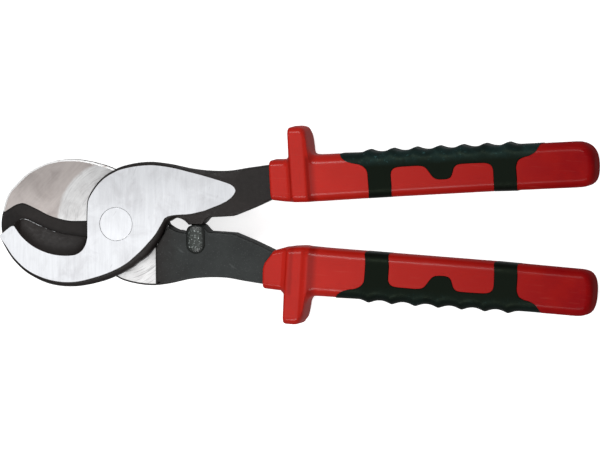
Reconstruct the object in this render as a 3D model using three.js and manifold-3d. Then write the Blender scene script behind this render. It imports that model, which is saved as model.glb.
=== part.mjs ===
// Shear-type cable cutters with insulated handles, 250 mm long, lying flat and closed.
// Two steel levers cross in a half lap and turn on one flush rivet; each tang carries a moulded
// sleeve with a finger guard, and each sleeve carries a soft grip let into its surface.
// Millimetres, +Z up. The rivet is on the Z axis, the jaws point to -X and the handles to +X.
import * as THREE from "three";
import { mergeVertices } from "three/addons/utils/BufferGeometryUtils.js";
import Module from "manifold-3d";

const wasm = await Module();
wasm.setup();

// ---- Driving dimensions ----
const GAP = 0.3; // clearance between pieces that touch
const CLEAR = 10; // further out than any face of the levers, for cuts that go right through
const HALF_HEAD = 6.15; // joint thickness from the lap plane to a ground face
const HALF_FORGED = 5.4; // the unground steel, from the lap plane to either side
const RELIEF_DEPTH = 0.9; // hollow beside the rear blade's edge, in its lap face
const BEVEL_DEPTH = 4.4; // hollow beside the front blade's edge, in its outer face

const DISC_RADIUS = 18.25; // joint disc, round the rivet
const SHOULDER_X = 16.2; // where a lever steps up from the lap to its full thickness
const SHOULDER_Y = 10.0;
const THROAT_X = -12.7; // end of the cutting edge, beside the joint disc
const EYE = [21.9, 0.3]; // pointed end of the gap beside the closing lugs
const DISC_START = [15.9, -9.0]; // where the shank's side and the jaw's back meet the disc
const DISC_END = [7.5, -16.6];
const HEAD_STUB = [22.0, 24.2]; // how far the head runs into the shank
const EDGE_LAP = 2.5; // how far the closed cutting edges pass each other

const RIVET_RADIUS = 6.8;
const SHAFT_RADIUS = 5.0;
const RIVET_HEAD = 2.2;

const STOP = { x: 33.8, y: -5.9, width: 7.2, length: 11.0, foot: 3.9, top: 6.9 };

const HANDLE_X = 63.8; // start of a handle's own axes, on its centre line
const HANDLE_Y = 18.0;
const HANDLE_TURN = THREE.MathUtils.degToRad(3.7);
const HANDLE_END = 137.3;
const HANDLE_IN = -9.4; // a handle's inner and outer edges, across its centre line
const HANDLE_OUT = 9.6;
const END_OUT = 9.0; // the outer edge, by the rounded end
const HALF_SLEEVE = 7.8;
const SLEEVE_ROUND = 4.5;
const COLLAR_IN = -7.9;
const COLLAR_OUT = 8.1;
const HALF_COLLAR = 7.2;
const COLLAR_ROUND = 3.0;
const TANG = { start: -8, length: 118, half_width: 5.0, half_height: 3.5 };

const GUARD = { near: 10.0, far: 16.5, reach: 21.9, half_height: 9.5, edge: 1.0 };
const GUARD_ROUND = { inner: 3.0, upper: 3.0, lower: 6.5 };

const GRIP_PROUD = 0.25; // how far a grip stands above its sleeve
const GRIP_DEPTH = 1.8;
const GRIP_BANDS = [41.7, 95.1]; // where the two bands round the handle start
const BAND_WIDTH = 9.8;
const GRIP_RAIL = 3.2; // inner edge of the strip along the handle's outer side
const BAND_ROOT = 6.0; // how far the bands and the tab run into the strip
const TAB = { near: 69.4, far: 78.0, reach: -2.8, lean: 1.3, root: 4.2 };
const PLAN_REACH = 14; // beyond both edges of a handle
const GRIP_ENDS = [28, 118]; // the grip's blank, before its plan cuts it
const CRESTS = { first: 42.1, pitch: 9.77, count: 7, height: 1.3 };

const STEEL = { color: 0xd4d4d6, roughness: 0.35, metalness: 0.9 };
const FORGED = { color: 0x3a3634, roughness: 0.55, metalness: 0.4 };
const RED = { color: 0xc02820, roughness: 0.35, metalness: 0 };
const BLACK = { color: 0x151b19, roughness: 0.7, metalness: 0 };

const LIP = 0.05; // the thin step that carries a grown outline
const CURVE_STEPS = 5;

// ---- Solids ----
// A closed geometry as a solid, placed by a matrix, which may mirror it.
function solidOf(geometry, matrix = new THREE.Matrix4()) {
  geometry.deleteAttribute("normal");
  geometry.deleteAttribute("uv");
  const merged = mergeVertices(geometry.applyMatrix4(matrix), 1e-3);
  const triVerts = new Uint32Array(merged.index.array);
  if (matrix.determinant() < 0) triVerts.reverse();
  const vertProperties = merged.attributes.position.array;
  return new wasm.Manifold(new wasm.Mesh({ numProp: 3, vertProperties, triVerts }));
}

function geometryOf(solid) {
  const mesh = solid.getMesh();
  const geometry = new THREE.BufferGeometry();
  geometry.setAttribute("position", new THREE.BufferAttribute(mesh.vertProperties, 3));
  geometry.setIndex(new THREE.BufferAttribute(mesh.triVerts, 1));
  return geometry;
}

// An upright prism from z = low to z = high, its outline moved outwards by grow.
function prism(shape, low, high, grow = 0, matrix) {
  const lip = grow ? LIP : 0;
  const geometry = new THREE.ExtrudeGeometry(shape, {
    depth: high - low - 2 * lip,
    bevelEnabled: grow !== 0,
    bevelThickness: lip,
    bevelSize: 0,
    bevelOffset: grow,
    bevelSegments: 1,
    curveSegments: CURVE_STEPS + 1,
  });
  geometry.translate(0, 0, low + lip);
  return solidOf(geometry, matrix);
}

// A plate with rounded upper and lower edges, standing on z = 0.
function roundedPlate(shape, thickness, round, segments) {
  const geometry = new THREE.ExtrudeGeometry(shape, {
    depth: thickness - 2 * round,
    bevelThickness: round,
    bevelSize: round,
    bevelOffset: -round,
    bevelSegments: segments,
    curveSegments: CURVE_STEPS,
  });
  return geometry.translate(0, 0, round);
}

// The same plate, centred on z = 0.
function pillow(shape, half, round, segments, matrix) {
  const geometry = roundedPlate(shape, 2 * half, round, segments);
  return solidOf(geometry.translate(0, 0, -half), matrix);
}

function box(x0, x1, y0, y1, z0, z1, matrix) {
  const geometry = new THREE.BoxGeometry(x1 - x0, y1 - y0, z1 - z0);
  geometry.translate((x0 + x1) / 2, (y0 + y1) / 2, (z0 + z1) / 2);
  return solidOf(geometry, matrix);
}

function cylinder(radius, low, high) {
  const geometry = new THREE.CylinderGeometry(radius, radius, high - low, 32);
  geometry.rotateX(Math.PI / 2);
  geometry.translate(0, 0, (low + high) / 2);
  return solidOf(geometry);
}

function vectors(points) {
  return points.map(([x, y]) => new THREE.Vector2(x, y));
}

function polygon(points) {
  return new THREE.Shape(vectors(points));
}

function angleOf([x, y]) {
  return Math.atan2(y, x);
}

// ---- Levers ----
// A lever is drawn over the lap plane, z = 0, with its shank on +Y and its ground face up.
const JAW_BACK = [
  [6.4, -18.0],
  [0.7, -20.9],
  [-7.0, -23.9],
  [-17.8, -25.9],
  [-28.2, -24.6],
  [-37.0, -20.4],
  [-45.2, -12.4],
];
const FRONT_TIP = [[-49.4, -5.4]];
const REAR_TIP = [[-48.3, -6.0], [-49.6, 0.8], [-49.1, 6.4]];

// Front blade: a hook at the tip, then a hollow sweep to the throat.
const HOOK_EDGE = [
  [-44.4, -0.6],
  [-41.2, 1.4],
  [-39.0, 1.3],
  [-33.7, -1.1],
  [-28.4, -3.2],
  [-23.0, -4.7],
  [-17.7, -5.3],
  [THROAT_X, -5.9],
];

// Rear blade: the same sweep turned over, so that it passes behind the front blade.
const COUNTER_EDGE = HOOK_EDGE.map(([x, y]) => [x, EDGE_LAP - y]);

// The closing lug between a lever's shank and the eye; the rear one hides under the stop.
const LUG_BACK = [35.6, GAP / 2];
const FRONT_LUG = [[30.0, GAP / 2], [28.6, 1.3], [27.2, 2.3], [25.4, 2.6], [23.4, 1.8]];
const REAR_LUG = [[33.6, GAP / 2], [32.4, 2.0], [31.2, 3.3], [28.6, 3.4], [25.4, 2.8], [23.4, 1.8]];

// The jaw and joint disc of a lever, with a stub that runs into its shank.
function headShape(tip, edge) {
  const shape = new THREE.Shape();
  shape.moveTo(...HEAD_STUB);
  shape.lineTo(...EYE);
  shape.absarc(0, 0, DISC_RADIUS, angleOf(DISC_START), angleOf(DISC_END), true);
  shape.splineThru(vectors([...JAW_BACK, ...tip]));
  shape.splineThru(vectors(edge));
  shape.lineTo(THROAT_X, 9.0);
  shape.splineThru(vectors([[-9.8, 14.6], [-5.0, 19.8], [2.2, 23.6], [8.4, 25.0], [15.2, 25.5]]));
  shape.lineTo(...HEAD_STUB);
  return shape;
}

// The full-thickness shank, from the shoulder at the joint to the mouth of the sleeve.
function shankShape(lug, mouth) {
  const shape = new THREE.Shape();
  shape.moveTo(SHOULDER_X, 25.4);
  shape.splineThru(vectors([[22, 24.2], [30, 22.4], [38, 21.6], [46, 21.8], [54, 22.9]]));
  mouth.forEach(([x, y]) => shape.lineTo(x, y));
  shape.lineTo(49.0, 3.6);
  shape.lineTo(38.4, 3.0);
  shape.splineThru(vectors([[37.2, 1.9], LUG_BACK]));
  shape.lineTo(...lug[0]);
  shape.splineThru(vectors([...lug.slice(1), EYE]));
  shape.lineTo(SHOULDER_X, SHOULDER_Y);
  return shape;
}

// Where a lever's shank stops, in its handle's own axes; the sleeve's mouth follows the same line.
const FRONT_MOUTH = [[1.6, COLLAR_OUT], [1.5, COLLAR_IN]];
const REAR_MOUTH = [[-1.3, COLLAR_OUT], [-1.2, -2.4], [1.4, -3.7], [2.0, -5.2], [3.0, COLLAR_IN]];

// A handle's own axes: u along it, v outwards and z up, mirrored for the lower handle.
function handleMatrix(side) {
  const matrix = new THREE.Matrix4().makeRotationZ(HANDLE_TURN);
  matrix.setPosition(HANDLE_X, HANDLE_Y, 0);
  return new THREE.Matrix4().makeScale(1, side, 1).multiply(matrix);
}

// The shoulder in the frame's axes, a gap short of the mouth and inside the collar's edges.
function shoulderPoints(mouth) {
  const matrix = handleMatrix(1);
  return mouth.map(([u, v]) => {
    const across = THREE.MathUtils.clamp(v, COLLAR_IN + 0.4, 6.3);
    const point = new THREE.Vector3(u - GAP, across, 0).applyMatrix4(matrix);
    return [point.x, point.y];
  });
}

const GROUND_FACE = [
  [-9.1, 13.9],
  [-4.1, 18.8],
  [5.9, 23.4],
  [18.7, 24.2],
  [34.8, 20.8],
  [45.7, 17.7],
  [50.2, 14.4],
  [46.4, 9.9],
  [33.0, 4.9],
  [22.1, 3.4],
  [16.8, -3.5],
  [10.7, -10.5],
  [2.0, -17.8],
  [-8.0, -22.2],
  [-18.0, -24.0],
  [-28.2, -22.6],
  [-36.4, -18.6],
  [-44.0, -11.0],
  [-48.0, -5.0],
];

// Inner edge of the ground face, where the front blade's hollow starts.
const HOLLOW_TIP = [-43.6, -0.6];
const HOLLOW_EDGE = [
  [-39.5, -5.7],
  [-32.3, -10.7],
  [-25.6, -12.9],
  [-18.6, -13.2],
  [-14.1, -10.8],
  [THROAT_X + 0.6, -6.0],
];

// The ground face of a lever's head, up to the blade's hollow.
function groundShape() {
  const shape = new THREE.Shape();
  shape.moveTo(THROAT_X + 0.6, 1.2);
  shape.lineTo(THROAT_X + 0.6, 8.0);
  shape.splineThru(vectors(GROUND_FACE));
  shape.lineTo(...HOLLOW_TIP);
  shape.splineThru(vectors(HOLLOW_EDGE));
  return shape;
}

// The front blade's hollow: from the ground face to beyond the cutting edge.
function hollowShape() {
  const shape = new THREE.Shape();
  shape.moveTo(...HOLLOW_TIP);
  shape.splineThru(vectors(HOLLOW_EDGE));
  shape.lineTo(THROAT_X, 4.0);
  shape.lineTo(-41.0, 4.0);
  return shape;
}

// The dark hollow in the rear blade's lap face, short of its true edge.
function reliefShape() {
  const shape = new THREE.Shape();
  shape.moveTo(-52, 4.2);
  shape.lineTo(-47.8, 4.5);
  shape.splineThru(vectors([
    [-43.6, 7.2], [-40.2, 7.9], [-34.5, 5.5], [-28.7, 2.7], [-21.6, 0.9], [-11.0, 0.8],
  ]));
  shape.lineTo(-11.0, -6.6);
  shape.splineThru(vectors([[-17.7, -6.6], [-28.0, -4.6], [-33.7, -2.4], [-39.8, 0.0], [-45.2, -3.0]]));
  shape.lineTo(-52, -7.0);
  return shape;
}

function tang() {
  const { start, length, half_width, half_height } = TANG;
  return box(start, length, -half_width, half_width, -half_height, half_height, handleMatrix(1));
}

// Both levers are drawn alike: half a joint, a full-thickness shank, a ground face and a tang.
function lever(tip, edge, lug, mouth) {
  const head = headShape(tip, edge);
  const shank = shankShape(lug, shoulderPoints(mouth));
  const outline = prism(head, 0, CLEAR).add(prism(shank, 0, CLEAR));
  const ground = prism(groundShape(), HALF_FORGED - 0.5, HALF_HEAD).intersect(outline);
  return prism(head, GAP / 2, HALF_FORGED)
    .add(prism(shank, -HALF_FORGED, HALF_FORGED))
    .add(ground)
    .add(tang())
    .subtract(cylinder(SHAFT_RADIUS + GAP, -CLEAR, CLEAR))
    .subtract(cylinder(RIVET_RADIUS + GAP, HALF_HEAD - RIVET_HEAD - GAP, CLEAR));
}

function frontLever() {
  const hollow = prism(hollowShape(), HALF_HEAD - BEVEL_DEPTH, CLEAR);
  return lever(FRONT_TIP, HOOK_EDGE, FRONT_LUG, FRONT_MOUTH).subtract(hollow);
}

function stopShape() {
  const radius = STOP.width / 2;
  const straight = STOP.length / 2 - radius;
  const shape = new THREE.Shape();
  shape.absarc(STOP.x, STOP.y + straight, radius, 0, Math.PI, false);
  shape.absarc(STOP.x, STOP.y - straight, radius, Math.PI, 2 * Math.PI, false);
  return shape;
}

// The rear lever is turned over about X, so its lap face is up and its ground face down.
function rearLever() {
  const relief = prism(reliefShape(), -GAP / 2 - RELIEF_DEPTH, 1);
  const pocket = prism(stopShape(), STOP.foot - GAP, CLEAR, GAP);
  return lever(REAR_TIP, COUNTER_EDGE, REAR_LUG, REAR_MOUTH)
    .rotate([180, 0, 0])
    .subtract(relief)
    .subtract(pocket);
}

// ---- Rivet ----
function rivet() {
  return cylinder(SHAFT_RADIUS, -HALF_HEAD, HALF_HEAD)
    .add(cylinder(RIVET_RADIUS, HALF_HEAD - RIVET_HEAD, HALF_HEAD))
    .add(cylinder(RIVET_RADIUS, -HALF_HEAD, RIVET_HEAD - HALF_HEAD));
}

// ---- Handles, in their own axes: u along the handle, v outwards, z up ----
// The outline of a sleeve's body: parallel edges and a rounded end.
function bodyShape() {
  const end = HANDLE_END;
  const start = GUARD.near + 4;
  const shape = new THREE.Shape();
  shape.moveTo(start, HANDLE_IN);
  shape.lineTo(end - 8, HANDLE_IN);
  shape.bezierCurveTo(end - 2, HANDLE_IN, end, HANDLE_IN + 2, end, HANDLE_IN + 7);
  shape.lineTo(end, HANDLE_OUT - 7);
  shape.bezierCurveTo(end, HANDLE_OUT - 2, end - 2, END_OUT, end - 9, END_OUT);
  shape.lineTo(start, HANDLE_OUT);
  return shape;
}

function collarShape(mouth) {
  const end = GUARD.far + 1.5;
  return polygon([...mouth, [end, COLLAR_IN], [end, COLLAR_OUT]]);
}

// The guard seen along the handle: flat on top, rounder underneath.
function guardShape() {
  const { reach, half_height } = GUARD;
  const { inner, upper, lower } = GUARD_ROUND;
  const quarter = Math.PI / 2;
  const shape = new THREE.Shape();
  shape.moveTo(HANDLE_IN + inner, half_height);
  shape.absarc(HANDLE_IN + inner, half_height - inner, inner, quarter, 2 * quarter, false);
  shape.absarc(HANDLE_IN + inner, inner - half_height, inner, 2 * quarter, 3 * quarter, false);
  shape.absarc(reach - lower, lower - half_height, lower, -quarter, 0, false);
  shape.absarc(reach - upper, half_height - upper, upper, 0, quarter, false);
  return shape;
}

function guard(matrix) {
  const geometry = roundedPlate(guardShape(), GUARD.far - GUARD.near, GUARD.edge, 2);
  geometry.translate(0, 0, GUARD.near);
  const along = new THREE.Vector3(1, 0, 0);
  const outwards = new THREE.Vector3(0, 1, 0);
  const up = new THREE.Vector3(0, 0, 1);
  geometry.applyMatrix4(new THREE.Matrix4().makeBasis(outwards, up, along));
  return solidOf(geometry, matrix);
}

// What a grip covers, seen from above: a strip with tapered ends, two bands and a tab.
const STRIP_NEAR = [[30.8, 9.2], [34.5, 6.2], [40.5, 5.0], [42.5, GRIP_RAIL]];
const STRIP_FAR = [[104.0, GRIP_RAIL], [107.0, 5.0], [112.0, 6.6], [115.2, 9.2]];

function gripPlan(matrix, grow) {
  const strip = [[30.2, PLAN_REACH], ...STRIP_NEAR, ...STRIP_FAR, [115.6, PLAN_REACH]];
  const { near, far, reach, lean, root } = TAB;
  const tab = [[near, root], [near + lean, reach], [far - lean, reach], [far, root]];
  const bands = GRIP_BANDS.map((start) => {
    const end = start + BAND_WIDTH;
    return [[start, -PLAN_REACH], [end, -PLAN_REACH], [end, BAND_ROOT], [start, BAND_ROOT]];
  });
  return [strip, tab, ...bands]
    .map((points) => prism(polygon(points), -CLEAR, CLEAR, grow, matrix))
    .reduce((plan, part) => plan.add(part));
}

// The grip's outer edge: finger rests with a pointed crest between each two.
function gripEdge() {
  const { first, pitch, count, height } = CRESTS;
  const start = first - pitch / 2;
  const steps = 8 * count;
  const edge = [];
  for (let i = 0; i <= steps; i += 1) {
    const u = start + (pitch * count * i) / steps;
    const rise = 1 - Math.abs(Math.sin((Math.PI * (u - first)) / pitch));
    edge.push([u, HANDLE_OUT + GRIP_PROUD + height * rise]);
  }
  return edge;
}

function gripShape() {
  const inner = HANDLE_IN - GRIP_PROUD;
  const outer = HANDLE_OUT + GRIP_PROUD;
  const [start, end] = GRIP_ENDS;
  return polygon([[start, inner], [start, outer], ...gripEdge(), [end, outer], [end, inner]]);
}

// What lies under a grip; the sleeve's own floor is a gap lower.
function core(matrix, gap) {
  const depth = GRIP_DEPTH + gap;
  const low = HANDLE_IN + depth;
  const high = HANDLE_OUT - depth;
  const [start, end] = [GRIP_ENDS[0] - 8, GRIP_ENDS[1] + 8];
  const shape = polygon([[start, low], [end, low], [end, high], [start, high]]);
  return pillow(shape, HALF_SLEEVE - depth, SLEEVE_ROUND - GRIP_DEPTH, 3, matrix);
}

function sleeve(side, mouth) {
  const matrix = handleMatrix(side);
  const { start, length, half_width, half_height } = TANG;
  const wide = half_width + GAP;
  const tall = half_height + GAP;
  const pocket = gripPlan(matrix, GAP).subtract(core(matrix, GAP));
  return pillow(bodyShape(), HALF_SLEEVE, SLEEVE_ROUND, 3, matrix)
    .add(pillow(collarShape(mouth), HALF_COLLAR, COLLAR_ROUND, 2, matrix))
    .add(guard(matrix))
    .subtract(pocket)
    .subtract(box(start, length + GAP, -wide, wide, -tall, tall, matrix));
}

function grip(side) {
  const matrix = handleMatrix(side);
  return pillow(gripShape(), HALF_SLEEVE + GRIP_PROUD, SLEEVE_ROUND, 3, matrix)
    .intersect(gripPlan(matrix, 0))
    .subtract(core(matrix, 0));
}

// ---- The assembly ----
const root = new THREE.Group();
root.position.z = HALF_HEAD; // the rivet's lower face is at z = 0

function addNode(name, solid, finish) {
  const mesh = new THREE.Mesh(geometryOf(solid), new THREE.MeshStandardMaterial(finish));
  mesh.name = name;
  root.add(mesh);
}

addNode("front_lever", frontLever(), STEEL);
addNode("rear_lever", rearLever(), STEEL);
addNode("pivot_rivet", rivet(), STEEL);
addNode("closing_stop", prism(stopShape(), STOP.foot, STOP.top), FORGED);
addNode("upper_sleeve", sleeve(1, FRONT_MOUTH), RED);
addNode("lower_sleeve", sleeve(-1, REAR_MOUTH), RED);
addNode("upper_grip", grip(1), BLACK);
addNode("lower_grip", grip(-1), BLACK);

export default root;
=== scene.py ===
"""Insulated cable cutters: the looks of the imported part, laid out as a Blender add-on.

Each piece has an operator that models it in place and hangs it on the frame's body that
carries it. Lengths inside the outlines are millimetres, as on a workshop drawing.
"""

import math
import random

import bmesh
import bpy
from mathutils import Matrix, Vector


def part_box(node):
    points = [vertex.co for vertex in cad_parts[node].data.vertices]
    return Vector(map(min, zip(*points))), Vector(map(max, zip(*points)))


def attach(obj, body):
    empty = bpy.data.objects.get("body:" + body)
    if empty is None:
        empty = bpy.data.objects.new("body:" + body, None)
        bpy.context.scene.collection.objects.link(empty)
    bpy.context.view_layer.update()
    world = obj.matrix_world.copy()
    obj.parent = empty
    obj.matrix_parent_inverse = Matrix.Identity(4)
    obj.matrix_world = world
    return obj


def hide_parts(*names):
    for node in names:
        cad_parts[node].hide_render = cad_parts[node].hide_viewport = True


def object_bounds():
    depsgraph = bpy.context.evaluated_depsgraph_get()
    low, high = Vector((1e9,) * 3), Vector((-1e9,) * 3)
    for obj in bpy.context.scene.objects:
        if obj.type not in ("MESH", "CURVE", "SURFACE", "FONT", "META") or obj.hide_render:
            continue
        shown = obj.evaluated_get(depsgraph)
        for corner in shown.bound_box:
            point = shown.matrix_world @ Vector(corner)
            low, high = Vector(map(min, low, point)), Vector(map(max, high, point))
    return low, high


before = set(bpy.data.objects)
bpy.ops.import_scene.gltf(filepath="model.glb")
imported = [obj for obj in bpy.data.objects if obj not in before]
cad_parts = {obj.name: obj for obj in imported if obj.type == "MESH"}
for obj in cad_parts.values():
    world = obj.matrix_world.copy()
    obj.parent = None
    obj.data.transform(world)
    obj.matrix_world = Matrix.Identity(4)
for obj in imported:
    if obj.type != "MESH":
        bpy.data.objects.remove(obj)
CAD_BOUNDS = [list(corner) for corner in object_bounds()]

bl_info = {
    "name": "Insulated Cable Cutters",
    "version": (1, 0, 0),
    "blender": (4, 5, 0),
    "location": "View3D > Sidebar > Cutters",
    "description": "Models insulated cable cutters around a packed CAD frame",
    "category": "Object",
}

MM = 0.001
RIVET_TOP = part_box("pivot_rivet")[1].z / MM
LAP_PLANE = RIVET_TOP / 2  # height of the joint's lap plane above the frame's origin

# ------------------------ outlines, in millimetres
def falls(kind, *rows):
    """Rows of a lever's outline between which the steel falls in one way."""
    return [(kind, *row) for row in rows]


# A lever is drawn with its jaw towards -Y and its ground side up; the rear one is turned over.
# Each row pairs a place on the outline with one on the rim of the ground face, and says how
# the steel falls between them: a hollow bevel to a cutting edge, the upright wall of the tip,
# a forged flank, or the flat of the shank.
FRONT_EDGE = [
    *falls("tip",
           (-49.3, -5.2, -49.0, -5.3), (-44.2, -0.9, -43.8, -1.2), (-42.6, 0.6, -42.4, -1.9)),
    *falls("edge",
           (-41.2, 1.4, -41.2, -3.6), (-39.0, 1.35, -39.5, -5.7), (-36.4, 0.3, -36.3, -8.5),
           (-33.7, -1.0, -32.6, -10.7), (-28.4, -3.2, -27.6, -12.5), (-23.0, -4.6, -22.4, -13.2),
           (-17.7, -5.3, -17.2, -12.8), (-14.8, -5.7, -14.1, -10.8), (-13.3, -5.9, -12.5, -7.9)),
]
REAR_EDGE = [
    *falls("tip", (-49.1, 6.4, -48.6, 6.0), (-46.6, 4.6, -46.2, 3.9)),
    *falls("edge",
           (-44.4, 3.1, -43.9, -0.6), (-41.4, 1.2, -40.6, -5.0), (-38.6, 1.3, -37.2, -6.3),
           (-33.7, 3.5, -31.8, -4.6), (-28.4, 5.6, -27.0, -2.0), (-23.0, 7.1, -22.4, -0.2),
           (-17.7, 7.8, -17.0, 1.4), (-13.6, 8.3, -12.3, 4.4)),
]
THROAT = falls(
    "flank",
    (-12.9, -5.9, -12.0, -5.6), (-12.8, 1.0, -12.0, 1.0), (-12.7, 5.2, -11.9, 5.2),
)
REAR_THROAT = falls("flank", (-12.7, 8.6, -11.8, 8.5))
DISC_TOP = [
    *falls("flank",
           (-12.4, 9.0, -11.6, 9.0), (-11.5, 11.8, -10.7, 11.4), (-9.8, 14.6, -9.0, 14.1),
           (-7.8, 17.2, -7.0, 16.6), (-5.0, 19.8, -4.4, 19.0), (-1.2, 22.1, -0.7, 21.2),
           (2.4, 23.7, 2.8, 22.6), (8.4, 25.0, 8.6, 23.8), (14.8, 25.4, 14.8, 24.3),
           (21.1, 24.6, 20.6, 23.8), (26.0, 23.5, 25.7, 22.9), (30.6, 22.5, 30.2, 21.8)),
    *falls("shank",
           (37.2, 21.7, 36.2, 20.3), (46.0, 21.8, 43.6, 18.2), (54.0, 23.1, 47.8, 16.8),
           (66.3, 24.9, 49.6, 15.6)),
]
# The shank under the sleeve, its slope, its inner flat and the back of its closing lug.
SHANK = [
    falls("shank", (66.8, 18.2, 50.2, 14.2), (67.2, 11.6, 49.6, 12.7)),
    falls("shank", (58.0, 7.3, 48.3, 11.2), (49.0, 3.6, 46.4, 9.8)),
    falls("shank", (43.8, 3.25, 43.8, 8.5), (38.6, 3.0, 40.8, 7.3)),
    falls("shank", (37.4, 1.9, 38.8, 6.5), (36.6, 0.9, 37.8, 6.1), (35.5, -0.12, 36.6, 5.7)),
]
LUG_FACE = falls("shank", (35.5, -0.12, 36.6, 5.7), (30.1, -0.12, 32.0, 4.6))
EYE = [
    *falls("shank", (28.7, 1.3, 29.8, 4.3), (27.2, 2.2, 27.8, 4.2)),
    *falls("flank", (25.0, 2.6, 25.0, 4.0), (22.8, 1.9, 23.0, 3.7), (21.0, 0.3, 21.2, 3.2)),
]
REAR_LUG_FACE = falls("shank", (35.5, 0.2, 36.6, 5.7), (31.3, 0.2, 32.4, 5.0))
REAR_EYE = [
    *falls("shank",
           (30.8, 0.9, 31.9, 5.0), (30.5, 2.1, 31.2, 5.0), (29.9, 3.1, 30.4, 5.0),
           (28.9, 3.45, 29.3, 4.9), (27.4, 3.3, 27.5, 4.8), (25.2, 2.8, 25.3, 4.4)),
    *falls("flank", (23.2, 1.8, 23.4, 3.9), (21.0, 0.3, 21.2, 3.2)),
]
DISC_BOTTOM = falls(
    "flank",
    (21.0, 0.3, 20.4, 2.6), (18.5, -5.2, 16.6, -3.8), (15.8, -9.1, 13.2, -7.8),
    (12.6, -13.2, 10.3, -10.9), (8.6, -16.1, 6.7, -14.1), (6.2, -18.0, 4.5, -15.9),
    (0.7, -20.9, -0.2, -18.6), (-7.0, -23.9, -7.6, -21.5), (-17.8, -25.9, -17.9, -23.9),
    (-28.2, -25.0, -27.6, -23.2), (-37.3, -20.9, -36.4, -19.7), (-43.4, -15.4, -42.5, -14.5),
)
FRONT_TIP_BACK = falls("flank", (-47.1, -9.8, -46.2, -9.3), (-49.3, -5.2, -49.0, -5.3))
REAR_TIP_BACK = [
    *falls("flank",
           (-46.6, -11.4, -45.9, -10.9), (-49.0, -4.0, -48.3, -4.0), (-49.7, 1.2, -49.0, 1.2)),
    *falls("tip", (-49.1, 6.4, -48.6, 6.0)),
]


def chained(*runs):
    """Runs in a row: each after the first starts at the row where the one before it ends."""
    joined = [list(runs[0])]
    for run in runs[1:]:
        joined.append([joined[-1][-1], *run])
    return joined


FRONT_RUNS = [
    *chained(FRONT_EDGE + THROAT[:1], THROAT[1:] + DISC_TOP, *SHANK),
    *chained(LUG_FACE, EYE),
    DISC_BOTTOM + FRONT_TIP_BACK,
]
REAR_RUNS = [
    *chained(REAR_EDGE + REAR_THROAT, DISC_TOP, *SHANK),
    *chained(REAR_LUG_FACE, REAR_EYE),
    DISC_BOTTOM + REAR_TIP_BACK,
]
SHANK_SPAN = slice(2, 8)  # the runs round the shank, from under the sleeve to the eye

# The shank's other half, behind the lap, stops at a shoulder beside the joint disc. Its edge
# comes in by the first number of a row at the height of the second.
SHANK_OUTER = [
    (16.2, 24.9), (22.0, 24.1), (30.0, 22.5), (38.0, 21.7), (46.0, 21.8), (54.0, 23.1),
    (66.3, 24.9),
]
SHOULDER_FOOT = (21.4, 1.0)
SHOULDER = [(16.2, 10.0), (16.2, 24.9)]
SHANK_BACK_ROWS = [(1.1, -5.4), (0.35, -5.1), (0, -4.3), (0, 0.7)]
# A shallow groove beside the shoulder, by its left, right, low and high edges. Its floor is
# painted near-black as the shadow line at the step.
SHADOW_LINE_GROOVE = (15.2, 16.18, 9.0, 27.0)
SHADOW_LINE_GROOVE_DEPTH = 0.75

# The dark hollow in the rear blade's lap face, in place.
RELIEF_RUNS = chained(
    [(-54.0, 4.0), (-47.9, 4.4)],
    [(-45.9, 5.7), (-43.6, 7.1), (-41.4, 7.8), (-39.4, 7.7), (-34.5, 5.5), (-28.7, 2.7),
     (-22.0, 1.0), (-17.0, 0.8), (-10.0, 1.1)],
    [(-10.0, -6.8)],
    [(-17.7, -6.5), (-23.0, -5.9), (-28.4, -4.4), (-33.7, -2.3), (-38.8, 0.0), (-41.4, 0.1),
     (-45.2, -2.4), (-54.0, -8.0)],
)

# What a grip covers, from above: its bands, its tab and its finger rests.
GRIP_RUNS = chained(
    [(30.2, 14.0), (30.5, 9.9)],
    [(31.6, 8.2), (33.6, 6.7), (36.0, 5.8), (39.0, 5.1), (41.1, 3.9), (42.3, 2.0),
     (42.5, -1.0)],
    [(42.5, -5.0), (42.2, -7.5), (41.6, -9.6), (41.3, -14.0)],
    [(51.1, -14.0)],
    [(51.3, -9.6), (51.8, -7.5), (52.1, -5.0), (52.1, -1.5)],
    [(52.2, 0.8), (53.2, 2.5), (55.4, 3.2), (60.0, 3.3), (64.6, 3.2), (66.8, 2.4), (68.2, 0.6),
     (69.4, -1.2), (70.8, -2.4), (72.8, -2.8), (75.4, -2.8), (77.2, -2.1), (78.1, -0.3),
     (78.8, 1.6), (80.2, 2.8), (82.4, 3.1), (87.0, 3.1), (92.0, 2.9), (94.2, 2.1), (95.2, 0.4),
     (95.3, -1.5)],
    [(95.2, -5.0), (94.9, -7.5), (94.3, -9.6), (94.0, -14.0)],
    [(103.9, -14.0)],
    [(104.1, -9.6), (104.6, -7.5), (104.9, -5.0), (104.9, -1.0)],
    [(105.0, 1.0), (106.0, 3.2), (108.0, 4.3), (110.6, 4.9), (112.8, 5.9), (114.1, 7.4),
     (115.0, 9.2)],
    [(115.4, 14.0)],
    [(30.2, 14.0)],
)
LOWER_GRIP_STRETCH = 1.03  # the lower grip reaches a little nearer its guard
GRIP_STRETCH_CENTRE = 95.3

HANDLES = (("upper", 1, "front_half"), ("lower", -1, "rear_half"))
# Where the handles' centre lines start, how they lean in degrees, and the line of each mouth:
# how far along the sleeve starts at a place across it.
HANDLE_START = (63.8, 18.0)
HANDLE_TURNS = {1: 3.55, -1: 3.85}
UPPER_MOUTH = [(-10.0, 0.8), (10.0, 1.0)]
LOWER_MOUTH = [
    (-10.0, 1.9), (-8.0, 1.7), (-6.6, 1.1), (-4.1, -0.4), (-3.4, -0.9), (-2.6, -1.5),
    (-1.5, -2.0), (0.2, -2.2), (5.0, -1.95), (10.0, -1.95),
]

HALF_HEAD = 6.15
LAP_GAP = 0.15  # each lever's lap face stands off the lap plane by this

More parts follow.
